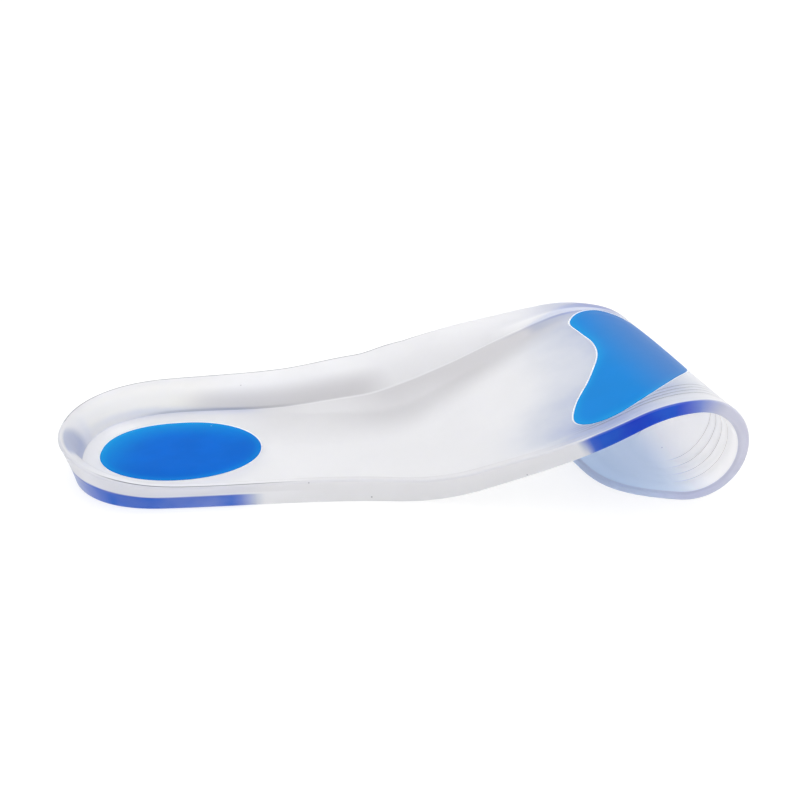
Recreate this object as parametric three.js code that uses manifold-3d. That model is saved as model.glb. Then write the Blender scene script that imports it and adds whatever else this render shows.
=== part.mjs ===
// Silicone insole for a right foot, lying on its sole with the forefoot rolled under itself.
// Millimetres. Of the flat insole, "along" runs from heel to toe, "across" towards the arch, and "up" from
// the sole.
import * as THREE from 'three';
import { mergeVertices } from 'three/addons/utils/BufferGeometryUtils.js';
import Module from 'manifold-3d';

const wasm = await Module();
wasm.setup();

// Outline of the flat sole
const LENGTH = 251.5;
const HEEL_ALONG = 30;
const HEEL_POWER = 2.2;
const SIDES = {
  lateral: {
    sign: -1, heel: 30.4, waistAlong: 92, waist: 30, ballAlong: 158, ball: 42, toeTurn: 1.35, toeBlunt: 3.55,
  },
  medial: {
    sign: 1, heel: 31, waistAlong: 100, waist: 28.5, ballAlong: 176, ball: 40.5, toeTurn: 2.1, toeBlunt: 2.2,
  },
};
const TIP_ACROSS = 2.8;

// Edge of the moulding on each side: height of the rim, how far it leans out past the sole, height of the
// floor at the foot of the inner wall, and how far in from the sole's edge that foot lies
const EDGES = {
  lateral: [
    { along: 0, rim: 13.7, lean: 3.5, foot: 5.2, inset: 2.6 },
    { along: 14, rim: 10.4, lean: 2.8, foot: 5.1, inset: 5 },
    { along: 35, rim: 7.3, lean: 1, foot: 5, inset: 5 },
    { along: 90, rim: 7.6, lean: 0.8, foot: 5.2, inset: 4.5 },
    { along: 150, rim: 5.8, lean: 0.5, foot: 4.7, inset: 3.5 },
    { along: 190, rim: 3.9, lean: 0.3, foot: 3.75, inset: 2.5 },
    { along: 209, rim: 2.6, lean: 0.2, foot: 2.6, inset: 2.3 },
    { along: 224, rim: 2.1, lean: 0.2, foot: 2.1, inset: 2.2 },
    { along: 250, rim: 2, lean: 0.2, foot: 2, inset: 2 },
  ],
  medial: [
    { along: 0, rim: 13.7, lean: 3.5, foot: 5.2, inset: 2.6 },
    { along: 12, rim: 13.7, lean: 4, foot: 5.2, inset: 4.4 },
    { along: 30, rim: 13.8, lean: 4.8, foot: 5.3, inset: 5 },
    { along: 60, rim: 16.2, lean: 5.7, foot: 6.5, inset: 4.5 },
    { along: 84, rim: 20.7, lean: 6.6, foot: 10, inset: 4 },
    { along: 105, rim: 22.8, lean: 7, foot: 12.5, inset: 3.5 },
    { along: 127, rim: 18.9, lean: 5.9, foot: 10.3, inset: 3.3 },
    { along: 150, rim: 12.1, lean: 4, foot: 8, inset: 3 },
    { along: 178, rim: 4.5, lean: 0.6, foot: 4.2, inset: 2.5 },
    { along: 209, rim: 2.6, lean: 0.2, foot: 2.6, inset: 2.3 },
    { along: 224, rim: 2.1, lean: 0.2, foot: 2.1, inset: 2.2 },
    { along: 250, rim: 2, lean: 0.2, foot: 2, inset: 2 },
  ],
};
const FLOOR = [
  { along: 0, thickness: 4.6 },
  { along: 60, thickness: 4.8 },
  { along: 110, thickness: 5 },
  { along: 165, thickness: 4.3 },
  { along: 195, thickness: 3.4 },
  { along: 210, thickness: 2.5 },
  { along: 225, thickness: 2.1 },
  { along: 250, thickness: 2 },
];
const RIM_WIDTH = 1.4;
const RIM_ROUND = 0.6;
const SOLE_ROUND = 1;
const SWELL_POWER = 3;

// Walls as shares: up the outer one with the lean and the rim's height, and down the inner one from the rim,
// which rolls over a round shoulder and falls steeply to a sharp crease at the floor
const OUTER_WALL = [
  { lean: 0.12, rise: 0.16 },
  { lean: 0.5, rise: 0.55 },
];
const INNER_WALL = [
  { way: 0.3, rise: 0.9 },
  { way: 0.6, rise: 0.68 },
  { way: 0.85, rise: 0.34 },
  { way: 1, rise: 0 },
];

// Gel pads: the heel's oval is fuller at its back on the arch side, and the forefoot's crescent has a row for
// each cut across it, from its outer tip to its inner one
const PAD_CLEARANCE = 0.35;
const PAD_DEPTH = 2.2;
const PAD_PROUD = 0.1;
const POCKET_MOUTH = 3;
const HEEL_PAD = { along: 31.8, across: -1.7, halfLength: 24.2, halfWidth: 20, archBack: 2.35 };
const FOREFOOT_PAD = [
  { across: -35.1, back: 160.3, front: 160.3 },
  { across: -33.4, back: 153.8, front: 168.1 },
  { across: -28.5, back: 151.2, front: 176 },
  { across: -20, back: 154.3, front: 184.2 },
  { across: -10, back: 161, front: 189.8 },
  { across: 1, back: 166.2, front: 192.6 },
  { across: 11, back: 167.3, front: 193 },
  { across: 21, back: 165.5, front: 190.6 },
  { across: 29, back: 164.2, front: 185.2 },
  { across: 34.8, back: 168, front: 178.2 },
  { across: 36.8, back: 173.8, front: 173.8 },
];

// Roll of the forefoot, seen from the side: the sole lifts off, climbs, levels out and turns under
const ROLL = { start: 91.4, liftRadius: 53, slope: 26.6, ramp: 45.8, crestRadius: 37.6 };
const ROLL_SKEW = THREE.MathUtils.degToRad(6.5);
const ROLL_PIVOT = 100;
const NEUTRAL_UP = 1.8;
const TOE_REST = 0.29;

// Fineness of the surfaces: sections round the heel and the toe, and the distance between the other sections
const HEEL_SECTIONS = 10;
const TOE_SECTIONS = 15;
const SECTION_STEP = { flat: 7, lift: 4, ramp: 6, crest: 3.2, loop: 2.6 };
const TOE_FAN = 10;
const SPINE = { from: 27, to: 221 };
const SOLE_SHARES = [0, 0.35, 0.7, 1];
const FLOOR_SHARES = [0.85, 0.65, 0.35, 0];
const PAD_ROWS = 30;
const PAD_COLUMNS = 8;
const ARC_MIDDLE = 1 - Math.SQRT1_2;
const MERGE_WITHIN = 1e-3;

// Smooth value of a table's column at a place along the sole
function column(table, key, along) {
  const last = table.length - 1;
  const at = THREE.MathUtils.clamp(along, table[0].along, table[last].along);
  let i = 0;
  while (i < last - 1 && at > table[i + 1].along) i += 1;
  const slopeAt = (k) => {
    if (k === 0 || k === last) return 0;
    return (table[k + 1][key] - table[k - 1][key]) / (table[k + 1].along - table[k - 1].along);
  };
  const span = table[i + 1].along - table[i].along;
  const t = (at - table[i].along) / span;
  const t2 = t * t;
  const t3 = t2 * t;
  return (2 * t3 - 3 * t2 + 1) * table[i][key] + (t3 - 2 * t2 + t) * span * slopeAt(i)
    + (3 * t2 - 2 * t3) * table[i + 1][key] + (t3 - t2) * span * slopeAt(i + 1);
}

// Where the sole's edge lies across, on one side: round at the heel, drawn in at the waist, round at the toe
function edgeAcross(side, along) {
  if (along < HEEL_ALONG) {
    const back = (HEEL_ALONG - along) / HEEL_ALONG;
    return side.sign * side.heel * Math.max(0, 1 - back ** HEEL_POWER) ** (1 / HEEL_POWER);
  }
  if (along <= side.ballAlong) {
    const flank = [
      { along: HEEL_ALONG, half: side.heel },
      { along: side.waistAlong, half: side.waist },
      { along: side.ballAlong, half: side.ball },
    ];
    return side.sign * column(flank, 'half', along);
  }
  const ahead = (along - side.ballAlong) / (LENGTH - side.ballAlong);
  const share = Math.max(0, 1 - ahead ** side.toeTurn) ** (1 / side.toeBlunt);
  return TIP_ACROSS + (side.sign * side.ball - TIP_ACROSS) * share;
}

function midAcross(along) {
  return (edgeAcross(SIDES.lateral, along) + edgeAcross(SIDES.medial, along)) / 2;
}

// Height of the floor that the foot stands on: level in the middle and swelling up to the foot of the walls
function floorUp(along, across) {
  const middleAcross = midAcross(along);
  const name = across < middleAcross ? 'lateral' : 'medial';
  const half = Math.abs(edgeAcross(SIDES[name], along) - middleAcross);
  const reach = Math.max(1, half - column(EDGES[name], 'inset', along));
  const share = Math.min(1, Math.abs(across - middleAcross) / reach);
  const middle = column(FLOOR, 'thickness', along);
  return middle + (column(EDGES[name], 'foot', along) - middle) * share ** SWELL_POWER;
}

// Side view of the rolled sole as straight and round stretches, each starting where the last one ends
function rollStretches() {
  const slope = THREE.MathUtils.degToRad(ROLL.slope);
  const crestUp = NEUTRAL_UP + (ROLL.liftRadius + ROLL.crestRadius) * (1 - Math.cos(slope))
    + ROLL.ramp * Math.sin(slope);
  const loopRadius = (crestUp - TOE_REST) / 2;
  const stretches = [
    { length: ROLL.start, turn: 0 },
    { length: ROLL.liftRadius * slope, turn: slope },
    { length: ROLL.ramp, turn: 0 },
    { length: ROLL.crestRadius * slope, turn: -slope },
    { length: loopRadius * Math.PI, turn: -Math.PI },
    { length: LENGTH, turn: 0 },
  ];
  let place = { from: 0, x: 0, z: NEUTRAL_UP, heading: 0 };
  return stretches.map((stretch) => {
    const row = { ...stretch, ...place };
    place = { from: row.from + row.length, ...pointOnStretch(row, row.length) };
    return row;
  });
}

function pointOnStretch(row, distance) {
  const turned = (row.turn * distance) / row.length;
  const heading = row.heading + turned;
  if (row.turn === 0) {
    return { x: row.x + distance * Math.cos(heading), z: row.z + distance * Math.sin(heading), heading };
  }
  const radius = row.length / row.turn;
  const x = row.x + radius * (Math.sin(heading) - Math.sin(row.heading));
  const z = row.z + radius * (Math.cos(row.heading) - Math.cos(heading));
  return { x, z, heading };
}

const STRETCHES = rollStretches();

// Takes a point of the flat insole to its place on the rolled one
function rolled(along, across, up) {
  const cos = Math.cos(ROLL_SKEW);
  const sin = Math.sin(ROLL_SKEW);
  const ahead = along - ROLL_PIVOT;
  const travel = ahead * cos + across * sin + ROLL_PIVOT;
  const aside = across * cos - ahead * sin;
  const row = STRETCHES.findLast((stretch) => travel >= stretch.from) ?? STRETCHES[0];
  const line = pointOnStretch(row, travel - row.from);
  const lift = up - NEUTRAL_UP;
  const x = line.x - lift * Math.sin(line.heading) - ROLL_PIVOT;
  const z = line.z + lift * Math.cos(line.heading);
  return [ROLL_PIVOT + x * cos - aside * sin, x * sin + aside * cos, z];
}

// Places along the sole where its section is taken, close together round the heel, the bend and the toe
function stations() {
  const list = [];
  for (let i = 0; i < HEEL_SECTIONS; i += 1) {
    list.push(HEEL_ALONG * (1 - Math.cos((Math.PI / 2) * (i / HEEL_SECTIONS))));
  }
  const ends = STRETCHES.map((row) => row.from + row.length);
  const spans = [
    { to: ends[0], step: SECTION_STEP.flat },
    { to: ends[1], step: SECTION_STEP.lift },
    { to: ends[2], step: SECTION_STEP.ramp },
    { to: ends[3], step: SECTION_STEP.crest },
    { to: ends[4] - TOE_FAN, step: SECTION_STEP.loop },
  ];
  let from = HEEL_ALONG;
  for (const { to, step } of spans) {
    const count = Math.round((to - from) / step);
    for (let i = 0; i < count; i += 1) list.push(from + ((to - from) * i) / count);
    from = to;
  }
  for (let i = 0; i <= TOE_SECTIONS; i += 1) {
    list.push(from + (LENGTH - from) * Math.sin((Math.PI / 2) * (i / TOE_SECTIONS)));
  }
  return list;
}

// Points of the sole's edge, once round from the heel's back: outer side, tip, arch side
function perimeter() {
  const list = stations();
  const out = list.map((along) => ({ side: 'lateral', along }));
  const back = list.slice(1, -1).reverse().map((along) => ({ side: 'medial', along }));
  const points = [...out, ...back];
  for (const point of points) point.across = edgeAcross(SIDES[point.side], point.along);
  return points.map((point, i) => {
    const before = points[(i + points.length - 1) % points.length];
    const after = points[(i + 1) % points.length];
    const normal = new THREE.Vector2(after.across - before.across, before.along - after.along);
    normal.normalize();
    return { ...point, outAlong: normal.x, outAcross: normal.y };
  });
}

// Merges shared corners, drops the triangles that this flattens, and makes a solid of the rest
function solid(points, triangles) {
  const soup = new THREE.BufferGeometry();
  soup.setAttribute('position', new THREE.Float32BufferAttribute(points.flat(), 3));
  soup.setIndex(triangles.flat());
  const merged = mergeVertices(soup, MERGE_WITHIN);
  const index = merged.getIndex().array;
  const kept = [];
  for (let i = 0; i < index.length; i += 3) {
    const [a, b, c] = index.subarray(i, i + 3);
    if (a !== b && b !== c && c !== a) kept.push(a, b, c);
  }
  const vertProperties = new Float32Array(merged.getAttribute('position').array);
  const triVerts = new Uint32Array(kept);
  return new wasm.Manifold(new wasm.Mesh({ numProp: 3, vertProperties, triVerts }));
}

// Two triangles for each cell of a grid of points, turned over where the face looks the other way
function gridTriangles(rows, columns, cornerAt, flip) {
  const triangles = [];
  for (let i = 0; i < rows; i += 1) {
    for (let j = 0; j < columns; j += 1) {
      const a = cornerAt(i, j);
      const b = cornerAt(i + 1, j);
      const c = cornerAt(i + 1, j + 1);
      const d = cornerAt(i, j + 1);
      triangles.push(flip ? [a, c, b] : [a, b, c], flip ? [a, d, c] : [a, c, d]);
    }
  }
  return triangles;
}

// Section of the moulding at one point of its edge, from the sole round the rim to the inner wall's foot.
// "out" is measured from the sole's edge, and the floor inside by the share of the way out from the middle
function edgeSection(point) {
  const value = (key) => column(EDGES[point.side], key, point.along);
  const rim = value('rim');
  const lean = value('lean');
  const foot = value('foot');
  const inset = value('inset');
  const middle = column(FLOOR, 'thickness', point.along);
  const rimInner = lean - RIM_WIDTH;
  const wall = Math.max(0, rim - foot);
  return {
    edge: [
      { out: -SOLE_ROUND * ARC_MIDDLE, up: SOLE_ROUND * ARC_MIDDLE },
      ...OUTER_WALL.map((row) => ({ out: lean * row.lean, up: rim * row.rise })),
      { out: lean, up: rim - RIM_ROUND },
      { out: lean - RIM_ROUND, up: rim },
      { out: rimInner, up: rim - RIM_ROUND * ARC_MIDDLE },
      ...INNER_WALL.map((row) => ({
        out: rimInner - (rimInner + inset) * row.way,
        up: foot + wall * row.rise,
      })),
    ],
    floorAt: (share) => middle + (foot - middle) * share ** SWELL_POWER,
  };
}

function bodySolid() {
  const points = [];
  const around = perimeter();
  for (const point of around) {
    const section = edgeSection(point);
    const at = (out) => ({
      along: point.along + point.outAlong * out,
      across: point.across + point.outAcross * out,
    });
    const spineAlong = THREE.MathUtils.clamp(point.along, SPINE.from, SPINE.to);
    const spine = { along: spineAlong, across: midAcross(spineAlong) };
    const between = (rim, share) => ({
      along: spine.along + (rim.along - spine.along) * share,
      across: spine.across + (rim.across - spine.across) * share,
    });
    const place = (flat, up) => points.push(rolled(flat.along, flat.across, up));
    for (const share of SOLE_SHARES) place(between(at(-SOLE_ROUND), share), 0);
    for (const { out, up } of section.edge) place(at(out), up);
    const foot = at(section.edge.at(-1).out);
    for (const share of FLOOR_SHARES) {
      const flat = between(foot, share);
      const height = share === 0 ? column(FLOOR, 'thickness', flat.along) : section.floorAt(share);
      place(flat, height);
    }
  }
  const ring = points.length / around.length;
  const cornerAt = (i, j) => (i % around.length) * ring + j;
  return solid(points, gridTriangles(around.length, ring - 1, cornerAt, false));
}

// A pad between its back and front edges, from "deep" under the floor to "proud" over it, and "grow" larger
function padSolid(rowAt, { deep, proud, grow }) {
  const points = [];
  for (const up of [-deep, proud]) {
    for (let i = 0; i <= PAD_ROWS; i += 1) {
      const turn = (Math.PI * i) / PAD_ROWS;
      const row = rowAt(i / PAD_ROWS);
      const across = row.across - grow * Math.cos(turn);
      for (let j = 0; j <= PAD_COLUMNS; j += 1) {
        const share = j / PAD_COLUMNS;
        const grown = grow * Math.sin(turn) * (2 * share - 1);
        const along = row.back + (row.front - row.back) * share + grown;
        points.push(rolled(along, across, floorUp(along, across) + up));
      }
    }
  }
  const layer = (PAD_ROWS + 1) * (PAD_COLUMNS + 1);
  const low = (i, j) => i * (PAD_COLUMNS + 1) + j;
  const high = (i, j) => layer + low(i, j);
  const back = (i, j) => (j === 0 ? low(i, 0) : high(i, 0));
  const front = (i, j) => (j === 0 ? low(i, PAD_COLUMNS) : high(i, PAD_COLUMNS));
  return solid(points, [
    ...gridTriangles(PAD_ROWS, PAD_COLUMNS, low, false),
    ...gridTriangles(PAD_ROWS, PAD_COLUMNS, high, true),
    ...gridTriangles(PAD_ROWS, 1, back, true),
    ...gridTriangles(PAD_ROWS, 1, front, false),
  ]);
}

function heelRow(share) {
  const turn = Math.PI * share;
  const across = HEEL_PAD.across - HEEL_PAD.halfWidth * Math.cos(turn);
  const power = share > 0.5 ? HEEL_PAD.archBack : 2;
  const back = HEEL_PAD.halfLength * (1 - Math.abs(Math.cos(turn)) ** power) ** (1 / power);
  const front = HEEL_PAD.halfLength * Math.sin(turn);
  return { across, back: HEEL_PAD.along - back, front: HEEL_PAD.along + front };
}

// Smooth row of the crescent's table; past its tips the back and front edges run into each other
function forefootRow(share) {
  const last = FOREFOOT_PAD.length - 1;
  const rowAt = (k) => {
    if (k >= 0 && k <= last) return FOREFOOT_PAD[k];
    const mirror = FOREFOOT_PAD[k < 0 ? -k : 2 * last - k];
    return { across: mirror.across, back: mirror.front, front: mirror.back };
  };
  const i = Math.min(Math.floor(share * last), last - 1);
  const t = share * last - i;
  const blend = (key) => {
    const [a, b, c, d] = [i - 1, i, i + 1, i + 2].map((k) => rowAt(k)[key]);
    return b + 0.5 * t * (c - a + t * (2 * a - 5 * b + 4 * c - d + t * (3 * (b - c) + d - a)));
  };
  return { across: blend('across'), back: blend('back'), front: blend('front') };
}

function meshOf(name, piece, material) {
  const { vertProperties, triVerts } = piece.getMesh();
  const geometry = new THREE.BufferGeometry();
  geometry.setAttribute('position', new THREE.BufferAttribute(new Float32Array(vertProperties), 3));
  geometry.setIndex(new THREE.BufferAttribute(new Uint32Array(triVerts), 1));
  geometry.computeVertexNormals();
  const mesh = new THREE.Mesh(geometry, material);
  mesh.name = name;
  return mesh;
}

const clearSilicone = new THREE.MeshStandardMaterial({ color: 0xe4e4e8, roughness: 0.3, metalness: 0 });
const blueGel = new THREE.MeshStandardMaterial({ color: 0x1f74d6, roughness: 0.32, metalness: 0 });

const POCKET = { deep: PAD_DEPTH + PAD_CLEARANCE, proud: POCKET_MOUTH, grow: PAD_CLEARANCE };
const PAD = { deep: PAD_DEPTH, proud: PAD_PROUD, grow: 0 };

const pockets = [padSolid(heelRow, POCKET), padSolid(forefootRow, POCKET)];
const pocketed = pockets.reduce((body, pocket) => body.subtract(pocket), bodySolid());

const insole = new THREE.Group();
insole.add(meshOf('insole_body', pocketed, clearSilicone));
insole.add(meshOf('heel_pad', padSolid(heelRow, PAD), blueGel));
insole.add(meshOf('forefoot_pad', padSolid(forefootRow, PAD), blueGel));

// The origin lies on the surface that the insole rests on, under the middle of its box
const box = new THREE.Box3().setFromObject(insole);
const middle = box.getCenter(new THREE.Vector3());
insole.position.set(-middle.x, -middle.y, -box.min.z);

export default insole;
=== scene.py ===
"""A silicone insole with gel pads and its forefoot rolled under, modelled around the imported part."""
import math

import bmesh
import bpy
import numpy as np
from bpy.props import FloatProperty, FloatVectorProperty, IntProperty, PointerProperty
from mathutils import Matrix, Vector


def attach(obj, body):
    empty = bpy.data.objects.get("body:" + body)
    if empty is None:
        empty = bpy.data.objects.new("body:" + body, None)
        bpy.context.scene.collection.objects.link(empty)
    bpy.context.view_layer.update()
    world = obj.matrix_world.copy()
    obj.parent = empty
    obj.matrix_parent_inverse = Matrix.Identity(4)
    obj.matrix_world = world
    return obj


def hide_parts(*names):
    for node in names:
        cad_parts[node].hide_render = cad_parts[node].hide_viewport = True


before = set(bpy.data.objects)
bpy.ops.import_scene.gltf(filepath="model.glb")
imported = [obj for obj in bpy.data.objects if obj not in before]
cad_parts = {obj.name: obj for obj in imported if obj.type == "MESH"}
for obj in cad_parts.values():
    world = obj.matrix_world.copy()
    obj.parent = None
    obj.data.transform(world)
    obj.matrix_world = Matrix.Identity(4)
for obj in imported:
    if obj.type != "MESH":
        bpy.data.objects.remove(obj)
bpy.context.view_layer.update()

bl_info = {
    "name": "Silicone insole",
    "version": (1, 0, 0),
    "blender": (4, 5, 0),
    "location": "3D View > Sidebar > Insole",
    "description": "Models a silicone insole with gel pads and its forefoot rolled under",
    "category": "Add Mesh",
}

MM = 0.001

# Outline of the flat sole, in millimetres: along from heel to toe, across towards the arch
LENGTH = 251.5
HEEL_ALONG = 30.0
HEEL_POWER = 2.2
SIDES = {
    "lateral": {
        "sign": -1, "heel": 30.4, "waist_along": 92, "waist": 30, "ball_along": 158, "ball": 42,
        "toe_turn": 1.35, "toe_blunt": 3.55,
    },
    "medial": {
        "sign": 1, "heel": 31, "waist_along": 100, "waist": 28.5, "ball_along": 176, "ball": 40.5,
        "toe_turn": 2.1, "toe_blunt": 2.2,
    },
}
TIP_ACROSS = 2.8
SPINE = (27.0, 221.0)

# Edge of the moulding: the rim's height, its lean past the sole, the wall's foot and the foot's inset
EDGES = {
    "lateral": [
        {"along": 0, "rim": 13.7, "lean": 3.5, "foot": 4.65, "inset": 2.6},
        {"along": 14, "rim": 10.4, "lean": 2.8, "foot": 4.8, "inset": 5},
        {"along": 35, "rim": 7.3, "lean": 1, "foot": 5, "inset": 5},
        {"along": 90, "rim": 7.6, "lean": 0.8, "foot": 5.2, "inset": 4.5},
        {"along": 150, "rim": 5.8, "lean": 0.5, "foot": 4.7, "inset": 3.5},
        {"along": 190, "rim": 3.9, "lean": 0.3, "foot": 3.75, "inset": 2.5},
        {"along": 209, "rim": 2.6, "lean": 0.2, "foot": 2.6, "inset": 2.3},
        {"along": 224, "rim": 2.1, "lean": 0.2, "foot": 2.1, "inset": 2.2},
        {"along": 250, "rim": 2, "lean": 0.2, "foot": 2, "inset": 2},
    ],
    "medial": [
        {"along": 0, "rim": 13.7, "lean": 3.5, "foot": 4.65, "inset": 2.6},
        {"along": 12, "rim": 13.7, "lean": 4, "foot": 4.9, "inset": 4.4},
        {"along": 30, "rim": 13.8, "lean": 4.8, "foot": 5.3, "inset": 5},
        {"along": 60, "rim": 16.2, "lean": 5.7, "foot": 6.5, "inset": 4.5},
        {"along": 84, "rim": 20.7, "lean": 6.6, "foot": 10, "inset": 4},
        {"along": 105, "rim": 22.8, "lean": 7, "foot": 12.5, "inset": 3.5},
        {"along": 127, "rim": 18.9, "lean": 5.9, "foot": 10.3, "inset": 3.3},
        {"along": 150, "rim": 12.1, "lean": 4, "foot": 8, "inset": 3},
        {"along": 178, "rim": 4.5, "lean": 0.6, "foot": 4.2, "inset": 2.5},
        {"along": 209, "rim": 2.6, "lean": 0.2, "foot": 2.6, "inset": 2.3},
        {"along": 224, "rim": 2.1, "lean": 0.2, "foot": 2.1, "inset": 2.2},
        {"along": 250, "rim": 2, "lean": 0.2, "foot": 2, "inset": 2},
    ],
}
FLOOR = [
    {"along": 0, "thickness": 4.6},
    {"along": 60, "thickness": 4.8},
    {"along": 110, "thickness": 5},
    {"along": 165, "thickness": 4.3},
    {"along": 195, "thickness": 3.4},
    {"along": 210, "thickness": 2.5},
    {"along": 225, "thickness": 2.1},
    {"along": 250, "thickness": 2},
]
SWELL_POWER = 3

# Gel pads: an oval, fuller at its back on the arch side, and a crescent with a row for each cut across it
HEEL_PAD = {"along": 31.8, "across": -1.7, "half_length": 24.2, "half_width": 20, "arch_back": 2.35}
HEEL_MIDDLE = (0.3, 0.7)
FOREFOOT_MIDDLE = (0.17, 0.83)
FOREFOOT_PAD = [
    {"across": -35.1, "back": 160.3, "front": 160.3},
    {"across": -33.4, "back": 153.8, "front": 168.1},
    {"across": -28.5, "back": 151.2, "front": 176},
    {"across": -20, "back": 154.3, "front": 184.2},
    {"across": -10, "back": 161, "front": 189.8},
    {"across": 1, "back": 166.2, "front": 192.6},
    {"across": 11, "back": 167.3, "front": 193},
    {"across": 21, "back": 165.5, "front": 190.6},
    {"across": 29, "back": 164.2, "front": 185.2},
    {"across": 34.8, "back": 168, "front": 178.2},
    {"across": 36.8, "back": 173.8, "front": 173.8},
]

# Roll of the forefoot, seen from the side: the sole lifts off, climbs, levels out and turns under
ROLL = {"start": 91.4, "lift_radius": 53, "slope": 26.6, "ramp": 45.8, "crest_radius": 37.6}
ROLL_SKEW = math.radians(6.5)
ROLL_PIVOT = 100.0
NEUTRAL_UP = 1.8
TOE_REST = 0.29
ORIGIN = np.array([95.3987, -1.0300, 0.0])

# Trim lines round the toe: how deep, where they part and are fully apart, and where they start and end
TRIM = {"lines": 4, "first": 1.2, "closest": 1.0}
TRIM_FLOOR = {"depth": 1.0, "part": 150.0, "apart": 240.0}
TRIM_SOLE = {"depth": 0.75, "part": 168.0, "apart": 214.0}
TRIM_START = {"lateral": (148.0, 158.0), "medial": (184.0, 200.0)}
TRIM_SOLE_END = (222.0, 236.0)

# Sections round the heel and the toe, and the distance between the others
HEEL_SECTIONS = 30
TOE_SECTIONS = 44
SECTION_STEP = {"flat": 2.4, "lift": 1.3, "ramp": 2.2, "crest": 1.2, "loop": 0.9}
TOE_FAN = 10.0

# Rings of the forms, as turns, as shares of the way or as millimetres
ROUND_TURNS = np.linspace(0, math.pi / 2, 6)
WALL_RISES = np.linspace(0, 1, 24)
WALL_WAYS = (0.04, 0.08, 0.14, 0.22, 0.3, 0.38, 0.46, 0.54, 0.62, 0.7, 0.78, 0.85, 0.91, 0.96, 0.985)
FOOT_STEPS = (0.0, 0.12, 0.5, 1.0)
MIDDLE_SHARES = (0.88, 0.75, 0.62, 0.5, 0.38, 0.26, 0.16, 0.07, 0.0)
PAD_UNDER_SHARES = (0.0, 0.1, 0.3, 0.6, 0.85)
PAD_UNDER_INSET = 0.6
PAD_UNDER_ROUND = ((0.4, 0.0), (0.12, 0.12), (0.0, 0.4))
PAD_SHOULDERS = (0.5, 0.9, 1.4, 2.4)
PAD_TOP_SHARES = (0.88, 0.76, 0.64, 0.52, 0.4, 0.28, 0.17, 0.08, 0.03, 0.0)

# Masks of the body, which its material reads, apart from the last: corners that no pocket's cutting made
# Most of these masks paint light and shade into the silicone's colour
MASKS = ("gel_glow", "toe_blue", "edge_tint", "trim_line", "shade", "crease", "bright", "lit_through", "made")

# Tints of the edge, most of them painted shade, painted light and painted highlights: the side, the strength,
# and where along each starts, is full, fades and ends
TINTS = {
    "near_rim_line": {"side": "lateral", "strength": 1.0, "along": (10, 20, 52, 74)},
    "far_rim_line": {"side": "medial", "strength": 1.0, "along": (-1, 0, 110, 130)},
    "crest": {"side": "medial", "strength": 1.0, "along": (148, 176, 186, 196)},
    "white_crease": {"side": "medial", "strength": 1.0, "along": (136, 150, 172, 182)},
    "blue_streak": {"side": "medial", "strength": 0.6, "along": (136, 150, 160, 170)},
    "waist_grey": {"side": "lateral", "strength": 1.0, "along": (58, 80, 146, 156)},
    "heel_grey": {"side": "lateral", "strength": 0.26, "along": (8, 18, 58, 80)},
    "heel_end_grey": {"side": "lateral", "strength": 0.28, "along": (-1, 0, 4, 10)},
    "near_patch": {"side": "lateral", "strength": 1.0, "along": (-1, 0, 3, 5.5)},
    "far_patch": {"side": "medial", "strength": 1.0, "along": (-1, 0, 15, 20)},
    "heel_bright": {"side": "medial", "strength": 1.0, "along": (0.4, 1.4, 30, 50)},
    "heel_foot_grey": {"side": "medial", "strength": 0.3, "along": (18, 32, 46, 60)},
    "foot_line": {"side": "medial", "strength": 0.3, "along": (8, 26, 56, 76)},
    "arch_grey": {"side": "medial", "strength": 1.0, "along": (21, 42, 84, 106)},
    "arch_top_grey": {"side": "medial", "strength": 0.12, "along": (80, 110, 150, 170)},
}

# Tints of the crest's rim, the rolled-in sole, the toe and the edge's blue bands, with the painted light,
# shade, glow and reflection among them: where along they change
CREST_LINE_START = (166, 176)
SOLE_LIGHT = (172, 190, 214, 232)
SOLE_TURN = (170, 182, 188, 208)
SOLE_LIT = (160, 200)
SOLE_BLUE = (212, 232)
SOLE_BLUE_SKEW = 0.22
SOLE_TIP_BLUE = (234, 248)
TOE_BLUE = (206, 236)
TIP_BLUE = (228, 244)
TOE_LAVENDER = (176, 191)
HEEL_BAND = {"top": 4.2, "rise": 2.0, "level": 32, "pale": (1, 18), "line_end": (14, 26), "end": (48, 60)}
FOREFOOT_BAND = {"top": 5.6, "start": (150.2, 153.2), "deepen": (156, 168), "end": (178, 194)}

# Finish: how sharp an edge may be and still be shaded smooth, and how strongly silicone bends light
BODY_SMOOTH = math.radians(38)
PAD_SMOOTH = math.radians(60)
SILICONE_IOR = 1.41


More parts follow.
